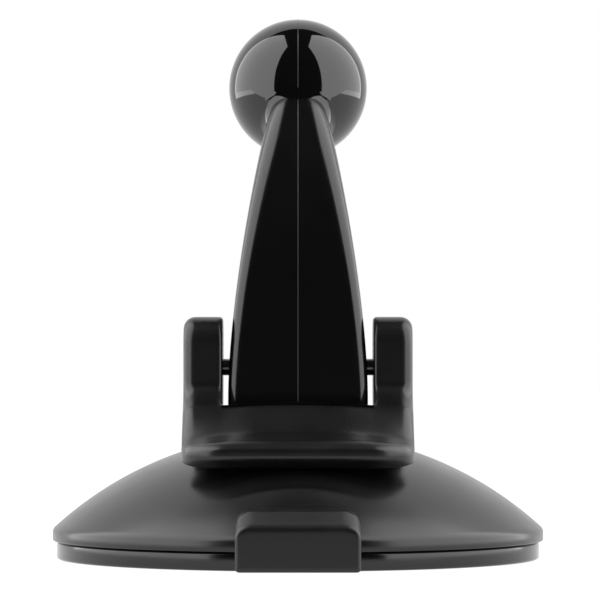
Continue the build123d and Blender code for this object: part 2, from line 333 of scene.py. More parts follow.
def block(name, low, high):
    """A plain block used only to cut."""
    (x0, y0, z0), (x1, y1, z1) = low, high
    corners = [(x, y, z) for x in (x0, x1) for y in (y0, y1) for z in (z0, z1)]
    sides = [(0, 1, 3, 2), (4, 6, 7, 5), (0, 4, 5, 1), (2, 3, 7, 6), (0, 2, 6, 4), (1, 5, 7, 3)]
    return finish_mesh(name, corners, sides)


def rod(name, radius, start, end, turns=48):
    """A plain round bar between two points, used only to cut."""
    start, end = Vector(start), Vector(end)
    turn = (end - start).to_track_quat("Z", "Y")
    length = (end - start).length
    angles = [2 * math.pi * i / turns for i in range(turns)]
    ring = [(radius * math.cos(a), radius * math.sin(a)) for a in angles]
    vertices = [start + turn @ Vector((x, y, 0)) for x, y in ring]
    vertices += [start + turn @ Vector((x, y, length)) for x, y in ring]
    faces = [tuple(range(turns)), tuple(range(2 * turns - 1, turns - 1, -1))]
    faces += [(i, (i + 1) % turns, turns + (i + 1) % turns, turns + i) for i in range(turns)]
    return finish_mesh(name, vertices, faces)


def dress(piece, material, body, slot, *nodes):
    """Gives a piece its material, body and the CAD nodes that it stands for; slot is not used."""
    piece.data.materials.clear()
    piece.data.materials.append(material)
    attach(piece, body)
    if nodes:
        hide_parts(*nodes)
    print(piece.name, len(piece.data.polygons), "faces on", body)
    return piece


# %% [markdown]
# ## Floor, backdrop and camera
#
# The mount stands on a white sweep, as a catalogue shows a black product: the floor and the
# background are white to the camera, two tall softboxes stand left and right, and the room
# in front is dark, which is what draws the crisp dark bands on the ball.

# %% Camera
EYE_DISTANCE = 550.0
EYE_HEIGHT = 30.0
camera_data = bpy.data.cameras.new("camera")
camera_data.sensor_width = 36.0
camera_data.lens = 273.9
camera_data.shift_x = 0.0033
camera_data.shift_y = 0.015
camera_data.clip_start = 0.01
camera_data.clip_end = 20.0
camera = bpy.data.objects.new("camera", camera_data)
camera.location = (0.0, -EYE_DISTANCE * MM, EYE_HEIGHT * MM)
camera.rotation_euler = (math.radians(90.0), 0.0, 0.0)
bpy.context.scene.collection.objects.link(camera)
bpy.context.scene.camera = camera
bpy.context.scene.view_settings.view_transform = "Standard"


# %% Floor and backdrop
def stage_plane(name, corners, material):
    mesh = bpy.data.meshes.new(name)
    mesh.from_pydata(corners, [], [(0, 1, 2, 3)])
    plane = bpy.data.objects.new(name, mesh)
    plane.data.materials.append(material)
    bpy.context.scene.collection.objects.link(plane)


def white_sweep(name, shown, own_light):
    """White paper: as bright as stated to the camera and in reflections, and still able to take a shadow."""
    material, tree = new_material(name)
    paper = add(tree, "ShaderNodeBsdfDiffuse", {"Color": (0.82, 0.82, 0.82, 1.0)})
    glow = add(tree, "ShaderNodeEmission", {"Color": (1.0, 1.0, 1.0, 1.0), "Strength": shown})
    path = add(tree, "ShaderNodeLightPath")
    seen = add(tree, "ShaderNodeMath", {"operation": "MAXIMUM"})
    tree.links.new(path.outputs["Is Camera Ray"], seen.inputs[0])
    tree.links.new(path.outputs["Is Glossy Ray"], seen.inputs[1])
    share = add(tree, "ShaderNodeMath", {"operation": "MULTIPLY", 1: own_light})
    tree.links.new(seen.outputs[0], share.inputs[0])
    mix = add(tree, "ShaderNodeMixShader", Fac=share.outputs[0])
    tree.links.new(paper.outputs[0], mix.inputs[1])
    tree.links.new(glow.outputs[0], mix.inputs[2])
    out = add(tree, "ShaderNodeOutputMaterial")
    tree.links.new(mix.outputs[0], out.inputs["Surface"])
    return material


REACH = 1.6
FRONT_Y = -0.1
FLOOR_Z = -0.00005
BACK_Y = 1.2
BACK_LOW = -0.2
BACK_TOP = 2.5
floor_corners = [(-REACH, FRONT_Y), (REACH, FRONT_Y), (REACH, REACH), (-REACH, REACH)]
back_corners = [(-REACH, BACK_LOW), (REACH, BACK_LOW), (REACH, BACK_TOP), (-REACH, BACK_TOP)]
floor_paper = white_sweep("floor_paper_matt", 1.12, 0.86)
back_paper = white_sweep("backdrop_paper_matt", 1.0, 1.0)
stage_plane("floor", [(x, y, FLOOR_Z) for x, y in floor_corners], floor_paper)
stage_plane("backdrop", [(x, BACK_Y, z) for x, z in back_corners], back_paper)

# %% World
world = bpy.data.worlds.new("dark_room")
world.use_nodes = True
bpy.context.scene.world = world
room = world.node_tree
room.nodes.clear()
path = add(room, "ShaderNodeLightPath")
dark = add(room, "ShaderNodeBackground", {"Color": (1.0, 1.0, 1.0, 1.0), "Strength": 0.02})
white = add(room, "ShaderNodeBackground", {"Color": (1.0, 1.0, 1.0, 1.0), "Strength": 1.0})
mix = add(room, "ShaderNodeMixShader", Fac=path.outputs["Is Camera Ray"])
room.links.new(dark.outputs[0], mix.inputs[1])
room.links.new(white.outputs[0], mix.inputs[2])
out = add(room, "ShaderNodeOutputWorld")
room.links.new(mix.outputs[0], out.inputs["Surface"])


# %% Softboxes
def softbox(name, location, size, toward, radiance):
    """A rectangular lamp whose power gives the stated brightness of its face."""
    data = bpy.data.lights.new(name, "AREA")
    data.shape = "RECTANGLE"
    data.size, data.size_y = size
    data.energy = math.pi * size[0] * size[1] * radiance
    lamp = bpy.data.objects.new(name, data)
    lamp.location = location
    lamp.rotation_euler = (Vector(toward) - Vector(location)).to_track_quat("-Z", "Y").to_euler()
    bpy.context.scene.collection.objects.link(lamp)


SIDE_X = 0.45
BOX_Y = -0.06
BOX_Z = 0.86
BOX_SIZE = (0.92, 1.9)
BOX_RADIANCE = 2.7
for side in (-1, 1):
    softbox(
        "softbox_left" if side < 0 else "softbox_right",
        (side * SIDE_X, BOX_Y, BOX_Z),
        BOX_SIZE,
        (0.0, BOX_Y, BOX_Z),
        BOX_RADIANCE,
    )

# %% [markdown]
# ## The dome housing
#
# The housing is a shallow spherical cap with an upright skirt, moulded with a thick crown
# that takes the arm's foot and the two wear pads. It is round, so it is turned from its
# outline, and the pockets are then cut where the CAD boxes say.

# %% Dome housing
SKIN = 2.0
EDGE_R = 0.2
BEVEL = 0.06
CROWN_R = 13.5
CROWN_UNDER = 10.0
FOOT_SEAT = arm_low[2]
inner_sphere = SPHERE_R - SKIN
inner_edge = DOME_R - SKIN
cap_angles = np.linspace(0.0, math.asin((DOME_R - EDGE_R) / SPHERE_R), 60)
dome_outline = [(SPHERE_R * math.sin(a), SPHERE_Z + SPHERE_R * math.cos(a)) for a in cap_angles]
dome_outline += [(DOME_R - BEVEL, SKIRT_TOP - BEVEL), (DOME_R, SKIRT_TOP - EDGE_R)]
dome_outline += arc((DOME_R - EDGE_R, RIM_H + EDGE_R), EDGE_R, 0, -90, 4)
under_angles = np.linspace(math.asin(inner_edge / inner_sphere), math.asin(CROWN_R / inner_sphere), 24)
dome_outline += [(inner_edge, RIM_H), (inner_edge, RIM_H + 0.4)]
dome_outline += [(inner_sphere * math.sin(a), SPHERE_Z + inner_sphere * math.cos(a)) for a in under_angles]
dome_outline += [(CROWN_R, CROWN_UNDER), (0.0, CROWN_UNDER)]
dome = finish_mesh("dome_housing_shell", *lathe(dome_outline, 256))
CUT_TOP = 20.0
foot_low_y, foot_high_y = -6.3, 5.7
foot_half = 8.35
foot_low = (-foot_half - FIT, foot_low_y - FIT, FOOT_SEAT)
foot_high = (foot_half + FIT, foot_high_y + FIT, CUT_TOP)
cutters = [
    block("cut_foot", foot_low, foot_high),
    rod("cut_bore", POST_R + FIT, (0, 0, CROWN_UNDER - 1), (0, 0, CUT_TOP)),
]
for side in (-1, 1):
    low = np.array([side * pad_low[0], pad_low[1] - FIT, pad_low[2]])
    high = np.array([side * pad_high[0], pad_high[1] + FIT, CUT_TOP])
    low[0], high[0] = min(low[0], high[0]) - FIT, max(low[0], high[0]) + FIT
    cutters.append(block("cut_pad", tuple(low), tuple(high)))
dome = carve(dome, cutters)
dress(dome, dome_abs, "housing", "dome_plastic", "dome_housing")

# %% [markdown]
# ## The suction disc
#
# The disc is one soft vinyl moulding, and its middle is pulled up when the lever locks. It
# is made in three layers: the rim stays on the glass, and the face and the back are drawn in
# their pulled-up shape, each bending from the rim's height to the post's.

# %% Suction disc
STROKE = 2.3
FACE_R = 23.0
HUB_R = 15.0
HUB_SKIN = 0.6
FLANGE_R = 5.1
PLATE_R = plate_high[0]
PLATE_FIT = 0.1
PLATE_UNDER = 3.6
HUB_TOP = plate_high[2] + HUB_SKIN
rim_outline = [(FACE_R, 0.0)]
rim_outline += arc((DISC_R - 0.35, 0.35), 0.35, -90, 0, 5)
rim_outline += arc((DISC_R - 0.4, RIM_H - 0.42), 0.4, 0, 90, 6)
rim_outline += [(FACE_R + 2.0, RIM_H - 0.02), (FACE_R, RIM_H + 0.3)]
rim = finish_mesh("suction_rim", *lathe(rim_outline, 256))
dress(rim, rim_vinyl, "housing", "disc_rubber", "suction_disc")


def face_height(r):
    """Height of the pulled-up face: level in the middle, down to the glass at the ring."""
    t = min(max((FACE_R - r) / (FACE_R - PLATE_R + 1.0), 0.0), 1.0)
    return STROKE * t * t * (3 - 2 * t)


SKIN_UNDER = 1.1
face_radii = np.linspace(FACE_R, 0.0, 60)
face_outline = [(r, face_height(r)) for r in face_radii]
face_outline += [(r, face_height(r) + SKIN_UNDER) for r in face_radii[::-1]]
face = finish_mesh("suction_face", *lathe(face_outline, 128))
face.data.materials.append(rim_vinyl)
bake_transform(face)
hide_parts("suction_disc")
back_outline = [(FACE_R, RIM_H + 0.3), (HUB_R, HUB_TOP), (FLANGE_R, HUB_TOP), (FLANGE_R, HUB_TOP - HUB_SKIN)]
back_outline += [(PLATE_R + PLATE_FIT, HUB_TOP - HUB_SKIN), (PLATE_R + PLATE_FIT, PLATE_UNDER)]
back_outline += [(FACE_R, SKIN_UNDER + 0.1)]
back = finish_mesh("suction_back", *lathe(back_outline, 128))
back.data.materials.append(rim_vinyl)
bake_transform(back)
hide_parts("suction_disc")


# %% [markdown]
# ## Lofts with rounded ends
#
# The pull tab and the lever are both a side outline carried across the width, and both
# change as they near their ends: edges roll over and corners draw in. So each is a loft of
# rings across X, and a function moves the outline's points at each station. Insetting moves
# a point along the outline's own inward normal, which is what an edge radius does.

# %% Loft helpers
def run_along(points):
    """Each point's distance along a polyline from its start."""
    steps = np.linalg.norm(np.diff(points, axis=0), axis=1)
    return np.concatenate([[0.0], np.cumsum(steps)])


def even(points, count):
    """That many points at even spacing along a polyline, with its two ends kept."""
    points = np.array(points, float)
    along = run_along(points)
    at = np.linspace(0.0, along[-1], count)
    return np.stack([np.interp(at, along, points[:, k]) for k in range(2)], axis=1)


def resample(points, spacing):
    """Points along a polyline at about the given spacing."""
    points = np.array(points, float)
    return even(points, max(2, int(round(run_along(points)[-1] / spacing)) + 1))


def hermite(p0, t0, p1, t1, steps=16):
    """A smooth curve between two points with a tangent at each."""
    t = np.linspace(0.0, 1.0, steps + 1)[:, None]
    p0, t0, p1, t1 = (np.array(v, float) for v in (p0, t0, p1, t1))
    a = 2 * t**3 - 3 * t**2 + 1
    b = t**3 - 2 * t**2 + t
    c = -2 * t**3 + 3 * t**2
    d = t**3 - t**2
    return a * p0 + b * t0 + c * p1 + d * t1


def inward(ring):
    """Unit normals of a closed outline of (y, z) points, pointing to its inside."""
    after = np.roll(ring, -1, axis=0)
    before = np.roll(ring, 1, axis=0)
    run = after - before
    run /= np.maximum(np.linalg.norm(run, axis=1, keepdims=True), 1e-9)
    area = 0.5 * np.sum(ring[:, 0] * after[:, 1] - after[:, 0] * ring[:, 1])
    normal = np.stack([-run[:, 1], run[:, 0]], axis=1)
    return normal if area > 0 else -normal


def ring_faces(start_a, start_b, count):
    """Quads between two closed rings with as many points each."""
    return [
        (start_a + k, start_a + (k + 1) % count, start_b + (k + 1) % count, start_b + k) for k in range(count)
    ]


def edge_stations(end, radius, steps=7):
    """Stations across a rounded edge: pairs of position and inset."""
    angles = np.linspace(0.0, math.pi / 2, steps + 1)
    return [(end - radius + radius * math.sin(a), radius * (1 - math.cos(a))) for a in angles]


# %% [markdown]
# ## The pull tab
#
# The tongue stands up in front of the dome's edge so that a finger can break the seal. Its
# front is upright, its top slopes back to the dome, and its top corners are rounded.

# %% Pull tab
TAB_HALF = 7.2
TAB_Y = disc_low[1]
TAB_TOP = disc_high[2]
TAB_FRONT = TAB_TOP - 1.7
TAB_CORNER = 2.0
TAB_EDGE = 0.5
TAB_FLAT = TAB_HALF - 0.7
TAB_SPACING = 0.25
ROOT_Y = -27.6
BEHIND_SKIRT_Y = -29.65
tab_back = [(-dr, dome_height(dr) + 0.12) for dr in (25.4, 26.4, 27.4, 28.4, 29.2)]
tab_side = [(ROOT_Y, 0.0), (TAB_Y + 0.3, 0.0)]
tab_side += arc((TAB_Y + 0.3, 0.3), 0.3, -90, -180, 4)
tab_side += arc((TAB_Y + 0.9, TAB_FRONT - 0.5), 0.9, 180, 122, 6)
tab_side += [(TAB_Y + 2.9, TAB_TOP - 0.25)]
tab_side += arc((TAB_Y + 3.6, TAB_TOP - 1.1), 1.1, 118, 80, 4)
tab_side += tab_back
tab_side += [(BEHIND_SKIRT_Y, 3.7), (BEHIND_SKIRT_Y, RIM_H), (ROOT_Y, RIM_H - 0.1)]
tab_ring = resample(tab_side + [tab_side[0]], TAB_SPACING)[:-1]
tab_inward = inward(tab_ring)


def tab_ring_at(x, inset):
    """The tab's outline at a station, drawn in at the edge and lowered at the top corners."""
    ring = tab_ring + tab_inward * inset
    over = max(abs(x) - (TAB_HALF - TAB_CORNER), 0.0)
    drop = TAB_CORNER - math.sqrt(max(TAB_CORNER**2 - over**2, 0.0))
    lift = np.clip((tab_ring[:, 1] - RIM_H) / (TAB_TOP - RIM_H), 0.0, 1.0)
    ring[:, 1] -= drop * lift
    return [(x, y, z) for y, z in ring]


tab_half_stations = [(x, 0.0) for x in np.linspace(0.0, TAB_FLAT, 18)][1:]
tab_half_stations += edge_stations(TAB_HALF, TAB_EDGE)[1:]
tab_stations = [(-x, i) for x, i in tab_half_stations[::-1]] + [(0.0, 0.0)] + tab_half_stations
tab_vertices, tab_faces = [], []
for station, (x, inset) in enumerate(tab_stations):
    tab_vertices += tab_ring_at(x, inset)
    if station:
        count = len(tab_ring)
        tab_faces += ring_faces((station - 1) * count, station * count, count)
for start in (0, (len(tab_stations) - 1) * len(tab_ring)):
    outline = [Vector((y, z, 0.0)) for _, y, z in tab_vertices[start : start + len(tab_ring)]]
    tab_faces += [tuple(start + k for k in tri) for tri in geometry.tessellate_polygon([outline])]
tab = finish_mesh("pull_tab", tab_vertices, tab_faces, 50.0)
dress(tab, tab_vinyl, "housing", "disc_rubber", "suction_disc")

# %% [markdown]
# ## The lever
#
# The lever is a U: two ears that carry the pin and the cams, joined in front by a scooped
# toe with a raised lip for the thumb. The ears and the toe share the toe's outline, so
# their rings meet point for point. The cam's outline falls evenly as it turns, which is why
# it is worked out and not drawn.

# %% Lever outlines
SWING = math.radians(75.0)
EAR_IN = 9.05
EAR_OUT = lever_high[0]
CAM_LOW = 14.7
CAM_REACH = PIN_Z - CAM_LOW
CAM_SLOPE = STROKE / SWING
BACK_Y_MM = CAM_REACH - STROKE
EAR_TOP = lever_high[2]
EAR_FRONT = -6.0
EAR_R = 3.2
TOE_Y = lever_low[1]
CREST_Z = 14.7
WEB_Y = -9.3
WEB_Z = 18.6
TOE_BOTTOM = 11.35
NOSE_HIGH, NOSE_LOW = 13.5, 12.8
DOME_GAP = 0.85
LEVER_SPACING = 0.22


def cam_point(angle):
    """The cam's point that faces the pad once the lever has turned by the angle."""
    reach = CAM_REACH - CAM_SLOPE * angle
    y = reach * math.sin(angle) - CAM_SLOPE * math.cos(angle)
    z = -reach * math.cos(angle) - CAM_SLOPE * math.sin(angle)
    return (y, PIN_Z + z)


def under_dome(y):
    """Height of the lever's underside, a gap above the dome."""
    return dome_height(abs(y)) + DOME_GAP


web_low_z = under_dome(WEB_Y) + 0.02
slope_end = (TOE_Y + 5.2, CREST_Z + 0.55)
scoop = (TOE_Y + 2.9, CREST_Z - 0.28)
crest = (TOE_Y + 1.75, CREST_Z)
toe_curves = [
    ((WEB_Y, WEB_Z), (-2.6, -1.0), slope_end, (-3.4, -1.35), 14),
    (slope_end, (-2.0, -0.8), scoop, (-1.4, 0.0), 10),
    (scoop, (-1.0, 0.0), crest, (-1.0, 0.25), 8),
    (crest, (-1.3, 0.25), (TOE_Y, NOSE_HIGH), (0.0, -1.4), 12),
    ((TOE_Y, NOSE_HIGH), (0.0, -0.9), (TOE_Y, NOSE_LOW), (0.0, -0.9), 4),
    ((TOE_Y, NOSE_LOW), (0.0, -1.5), (TOE_Y + 1.5, TOE_BOTTOM), (1.5, 0.0), 10),
]
toe_chain = [(WEB_Y, WEB_Z)]
for curve in toe_curves:
    toe_chain += list(hermite(*curve))[1:]
toe_chain += [(TOE_Y + run, under_dome(TOE_Y + run)) for run in (3.0, 4.6, 6.2, 8.0)]
toe_chain += [(WEB_Y, web_low_z)]
toe_chain = resample(toe_chain, LEVER_SPACING)

cam = [cam_point(SWING * i / 24) for i in range(25)]
tangent_rise = (BACK_Y_MM - cam[-1][0]) / math.tan(math.pi / 2 - SWING)
ear_chain = [(WEB_Y, web_low_z), (EAR_FRONT, CAM_LOW), *cam]
ear_chain += [(BACK_Y_MM, cam[-1][1] + tangent_rise)]
ear_chain += arc((BACK_Y_MM - EAR_R, EAR_TOP - EAR_R), EAR_R, 0, 90, 14)
ear_chain += arc((EAR_FRONT + EAR_R, EAR_TOP - EAR_R), EAR_R, 90, 180, 14)
ear_chain += list(hermite((EAR_FRONT, WEB_Z + 2.6), (0, -3.0), (WEB_Y, WEB_Z), (-3.4, -1.3), 16))
ear_chain = resample(ear_chain, LEVER_SPACING)

web_round = 0.7
web_chain = arc((WEB_Y - web_round, web_low_z + web_round), web_round, -90, 0, 5)
web_chain += arc((WEB_Y - web_round, WEB_Z - web_round), web_round, 0, 78, 6)
print("lever outline", len(toe_chain), "toe points and", len(ear_chain), "ear points")

# %% [markdown]
# The toe changes across its width: its corners are rounded in plan, the crest and the scoop
# dip and the underside lifts towards the ends, and the web is a little crowned. `shape_toe`
# holds these rules.

# %% Lever stations
PLAN_R = 5.2
LOW_CORNER_W = 4.2
LOW_CORNER_H = 1.0
CROWN = 0.3
SIDE_FALL = 0.6
SIDE_FALL_X = 4.0
TOP_BAND = 1.2
DIP, DIP_START, DIP_SPAN, DIP_REACH = 0.9, 0.55, 0.32, 0.2


def shape_toe(ring, x):
    """Moves the toe's points for a station: plan corner, crest dip, lifted lower corner, crowned web."""
    out = np.array(ring, float)
    forward = np.clip((WEB_Y - out[:, 0]) / (WEB_Y - TOE_Y), 0.0, 1.0)
    over = max(abs(x) - (EAR_OUT - PLAN_R), 0.0)
    pull = PLAN_R - math.sqrt(max(PLAN_R**2 - over**2, 0.0))
    out[:, 0] += pull * forward**2
    end = max(abs(x) - (EAR_OUT - LOW_CORNER_W), 0.0) / LOW_CORNER_W
    rise = LOW_CORNER_H * (1 - math.sqrt(max(1 - end**2, 0.0)))
    height = np.clip((CREST_Z - out[:, 1]) / (CREST_Z - TOE_BOTTOM), 0.0, 1.0)
    out[:, 1] += rise * height * forward
    top = np.clip((out[:, 1] - NOSE_LOW) / TOP_BAND, 0.0, 1.0)
    dip = DIP * min(max(abs(x) / EAR_OUT - DIP_START, 0.0), DIP_SPAN) ** 2 / DIP_REACH
    out[:, 1] -= dip * top * forward**2
    fall = SIDE_FALL * (max(abs(x) - SIDE_FALL_X, 0.0) / (EAR_OUT - SIDE_FALL_X)) ** 2
    out[:, 1] -= fall * top * 4 * forward * (1 - forward)
    out[:, 1] += CROWN * max(1 - (x / EAR_IN) ** 2, 0.0) * (1 - forward) * top * (forward < 1)
    return out


whole = np.concatenate([toe_chain, ear_chain[1:-1]])
whole_in = inward(whole)
toe_count = len(toe_chain)
inner_weight = np.zeros(len(whole))
ear_positions = np.arange(len(whole) - toe_count) / (len(whole) - toe_count)
inner_weight[toe_count:] = np.clip(np.minimum(ear_positions, 1 - ear_positions) * 12, 0.0, 1.0)


# the underside stays nearly sharp, so that it hides the gap over the dome
above_dome = whole[:, 1] - np.array([under_dome(y) for y in whole[:, 0]])
toward_tip = np.clip((WEB_Y - 1.0 - whole[:, 0]) / 4.0, 0.0, 1.0)
outer_weight = np.clip(above_dome / 1.5, 0.25, 1.0) * (1 - 0.7 * toward_tip)
outer_weight[whole[:, 0] > EAR_FRONT + 1.5] = 1.0


def ear_ring(x, outer_inset, inner_inset):
    """The whole outline at a station of the ear, drawn in at the outer or the inner edge."""
    inset = outer_weight * outer_inset + inner_weight * inner_inset
    return shape_toe(whole, x) + whole_in * inset[:, None]


def middle_ring(x):
    """The toe's outline at a station between the ears, closed by the web's back."""
    web = np.array(web_chain)
    toe = shape_toe(toe_chain, x)
    web[:, 1] += (toe[0, 1] - WEB_Z) * np.clip((web[:, 1] - 15) / 3, 0, 1)
    return np.concatenate([toe, web])


# %% Lever mesh
lever_vertices, lever_faces = [], []


def add_ring(ring, x):
    start = len(lever_vertices)
    lever_vertices.extend((x, y, z) for y, z in ring)
    return start


def cap(indices):
    outline = [Vector((lever_vertices[i][1], lever_vertices[i][2], 0.0)) for i in indices]
    return [tuple(indices[k] for k in tri) for tri in geometry.tessellate_polygon([outline])]


EAR_EDGE = 1.4
INNER_EDGE = 0.45
PIN_HOLE_R = PIN_R + 0.03
PAST_LEVER = 20.0
inner_angles = np.linspace(0, math.pi / 2, 6)
for side in (-1, 1):
    stations = [
        (EAR_IN + INNER_EDGE * (1 - math.cos(a)), 0.0, INNER_EDGE * (1 - math.sin(a))) for a in inner_angles
    ]
    stations += [(x, 0.0, 0.0) for x in np.linspace(EAR_IN + INNER_EDGE, EAR_OUT - EAR_EDGE, 10)[1:-1]]
    stations += [(x, inset, 0.0) for x, inset in edge_stations(EAR_OUT, EAR_EDGE, 9)]
    starts = [add_ring(ear_ring(x, outer, inner), side * x) for x, outer, inner in stations]
    for a, b in zip(starts, starts[1:]):
        lever_faces += ring_faces(a, b, len(whole))
    lever_faces += cap(list(range(starts[-1], starts[-1] + len(whole))))
    web_start = add_ring(np.array(middle_ring(EAR_IN))[toe_count:], side * EAR_IN)
    web_indices = list(range(web_start, web_start + len(web_chain)))
    first = starts[0]
    ear_indices = list(range(first + toe_count - 1, first + len(whole))) + [first]
    lever_faces += cap(ear_indices + web_indices[::-1])
middle_x = np.linspace(-EAR_IN, EAR_IN, 41)
middle_starts = [add_ring(middle_ring(abs(x)), x) for x in middle_x]
for a, b in zip(middle_starts, middle_starts[1:]):
    lever_faces += ring_faces(a, b, len(toe_chain) + len(web_chain))
lever = finish_mesh("cam_lever", lever_vertices, lever_faces, 40.0)
pin_hole = rod("cut_pin", PIN_HOLE_R, (-PAST_LEVER, 0, PIN_Z), (PAST_LEVER, 0, PIN_Z))
lever = carve(lever, [pin_hole], 40.0)
dress(lever, lever_nylon, "lever", "lever_plastic", "lever")

# %% [markdown]
# ## The arm
#
# The arm is a flat-faced tongue that stands upright in the dome, tapers in a long convex
# curve and bends back to the ball's neck. Each ring runs from a point of the front line to
# one of the back line. A point's half width depends on how high it stands, so the taper
# keeps its line round the bend.

# %% Arm outlines
LEAN = math.radians(52.0)
ALONG = np.array([math.sin(LEAN), math.cos(LEAN)])
ACROSS = np.array([-math.cos(LEAN), math.sin(LEAN)])
BALL_YZ = np.array([BALL_C[1], BALL_C[2]])
NECK_T = 6.4
FOOT_TOP = 19.5
NECK_W = 5.4
FRONT_BEND_Z = 33.0
BACK_BEND_Z = 30.0


def from_ball(t, side):
    """A point by its place along the neck from the ball's centre, and across it."""
    return BALL_YZ + ALONG * t + ACROSS * side


front_line = [(foot_low_y, FOOT_SEAT), (foot_low_y, FRONT_BEND_Z)]
front_end = from_ball(-BALL_R + 1.0, NECK_T / 2 + 0.8)
front_line += list(hermite((foot_low_y, FRONT_BEND_Z), (0, 26.0), front_end, ALONG * 15.0, 32))[1:]
back_end = from_ball(-BALL_R + 1.0, -NECK_T / 2)
back_mid = from_ball(-13.0, -NECK_T / 2 - 0.4)
back_line = [(foot_high_y, FOOT_SEAT), (foot_high_y, BACK_BEND_Z)]
back_line += list(hermite((foot_high_y, BACK_BEND_Z), (0, 9.0), back_mid, (2.4, 6.5), 16))[1:]
back_line += list(hermite(back_mid, (2.0, 4.0), back_end, ALONG * 5.0, 12))[1:]
ARM_STATIONS = 90
arm_front = even(front_line, ARM_STATIONS)
arm_back = even(back_line, ARM_STATIONS)
TAPER = [(-0.3, 1.0), (0.0, 1.0), (0.25, 0.93), (0.49, 0.79), (0.73, 0.60), (0.88, 0.46)]
taper_z = FOOT_TOP + (BALL_C[2] - 0.2 - FOOT_TOP) * np.array([rise for rise, _ in TAPER] + [1.0])
taper_w = np.array([foot_half * share for _, share in TAPER] + [NECK_W / 2])


def smooth_taper():
    """Half widths at many heights, as one smooth curve through the taper's driving points."""
    heights = np.linspace(taper_z[0], taper_z[-1], 200)
    fit = np.polynomial.polynomial.Polynomial.fit(taper_z[1:], taper_w[1:], 4)
    widths = np.where(heights < FOOT_TOP, foot_half, fit(heights))
    return heights, np.minimum(widths, foot_half)


taper_heights, taper_widths = smooth_taper()
CORNER_FOOT, CORNER_NECK = 1.3, 2.0
CORNER_STEPS = 7
SIDE_STEPS = 10
FLAT_STEPS = 8


def arm_ring(station):
    """A rounded rectangle across the arm, from the front edge's point to the back edge's."""
    front, back = arm_front[station], arm_back[station]
    depth = np.linalg.norm(back - front)
    ahead = (back - front) / depth
    radius = np.interp(front[1], (FOOT_TOP, BALL_C[2] - BALL_R), (CORNER_FOOT, CORNER_NECK))
    corner = np.radians(np.linspace(0, 90, CORNER_STEPS + 1))
    ring = []
    half_path = []
    for u in np.linspace(0.0, 1.0, FLAT_STEPS, endpoint=False):
        half_path.append((0.0, u, 0.0))
    for inset, down in [(radius * (1 - math.sin(a)), radius * (1 - math.cos(a))) for a in corner]:
        half_path.append((down, 1.0, inset))
    for v in np.linspace(radius, depth - radius, SIDE_STEPS)[1:-1]:
        half_path.append((v, 1.0, 0.0))
    for inset, down in [(radius * (1 - math.sin(a)), radius * (1 - math.cos(a))) for a in corner[::-1]]:
        half_path.append((depth - down, 1.0, inset))
    for u in np.linspace(1.0, 0.0, FLAT_STEPS + 1)[1:]:
        half_path.append((depth, u, 0.0))
    for down, share, inset in half_path:
        y, z = front + ahead * down
        half = np.interp(z, taper_heights, taper_widths)
        flat = max(half - radius, 0.2)
        x = flat * share if share < 1.0 else half - inset
        ring.append((x, y, z))
    mirrored = [(-x, y, z) for x, y, z in ring[-2:0:-1]]
    return ring + mirrored


arm_vertices, arm_faces = [], []
for station in range(ARM_STATIONS):
    ring = arm_ring(station)
    count = len(ring)
    arm_vertices += ring
    if station:
        arm_faces += ring_faces((station - 1) * count, station * count, count)
arm_faces += [tuple(range(count)), tuple(range((ARM_STATIONS - 1) * count, ARM_STATIONS * count))]
arm = finish_mesh("raked_arm", arm_vertices, arm_faces, 30.0)
BORE_TOP = 27.0
PAST_ARM = 12.0
SLOT_R = PIN_R + FIT
SLOT_LOW = PIN_Z - STROKE
arm_cutters = [
    rod("cut_post", POST_R + FIT, (0, 0, FOOT_SEAT - 1), (0, 0, BORE_TOP)),
    block("cut_slot", (-PAST_ARM, -SLOT_R, SLOT_LOW), (PAST_ARM, SLOT_R, PIN_Z)),
    rod("cut_slot_top", SLOT_R, (-PAST_ARM, 0, PIN_Z), (PAST_ARM, 0, PIN_Z)),
    rod("cut_slot_low", SLOT_R, (-PAST_ARM, 0, SLOT_LOW), (PAST_ARM, 0, SLOT_LOW)),
]
arm = carve(arm, arm_cutters, 30.0)
dress(arm, arm_pc, "housing", "arm_plastic", "arm")

# %% [markdown]
# ## The ball stud
#
# The ball is turned about the neck's direction. A collar flares from the neck and meets the
# ball along a ring.

# %% Ball and collar
RING_R = 5.0
COLLAR_R = 3.4
COLLAR_L = 3.4
ring_s = math.sqrt(BALL_R**2 - RING_R**2)
collar = hermite((COLLAR_R, -ring_s - COLLAR_L), (0.0, 2.6), (RING_R - 0.05, -ring_s - 0.05), (3.0, 1.4), 18)
start_angle = math.degrees(math.atan2(-ring_s, RING_R))
ball_outline = [(0.0, -ring_s - COLLAR_L)] + [tuple(p) for p in collar]
ball_outline += arc((0.0, 0.0), BALL_R, start_angle, 90, 90)[:-1] + [(0.0, BALL_R)]
ball_vertices, ball_faces = lathe(ball_outline, 192)
turn = Vector((0, ALONG[0], ALONG[1])).to_track_quat("Z", "X")
ball_vertices = [tuple(Vector(BALL_C) + turn @ Vector(v)) for v in ball_vertices]
ball = finish_mesh("ball_stud", ball_vertices, ball_faces, 35.0)
dress(ball, ball_pc, "housing", "arm_plastic", "arm")

# %% [markdown]
# ## Geometry Nodes helpers
#
# Some shapes are a rule and not a form, such as a section carried along a path. Geometry
# Nodes state the rule, with the sizes as named inputs. The result is turned into a plain mesh
# straight away, because only plain meshes are kept.

# %% Geometry Nodes helpers
def new_tree(name, sizes):
    """A Geometry Nodes tree with a geometry input and one float input for each size."""
    tree = bpy.data.node_groups.new(name, "GeometryNodeTree")
    tree.interface.new_socket("Geometry", in_out="OUTPUT", socket_type="NodeSocketGeometry")
    tree.interface.new_socket("Geometry", in_out="INPUT", socket_type="NodeSocketGeometry")
    for size in sizes:
        tree.interface.new_socket(size, in_out="INPUT", socket_type="NodeSocketFloat")
    return tree, tree.nodes.new("NodeGroupInput")


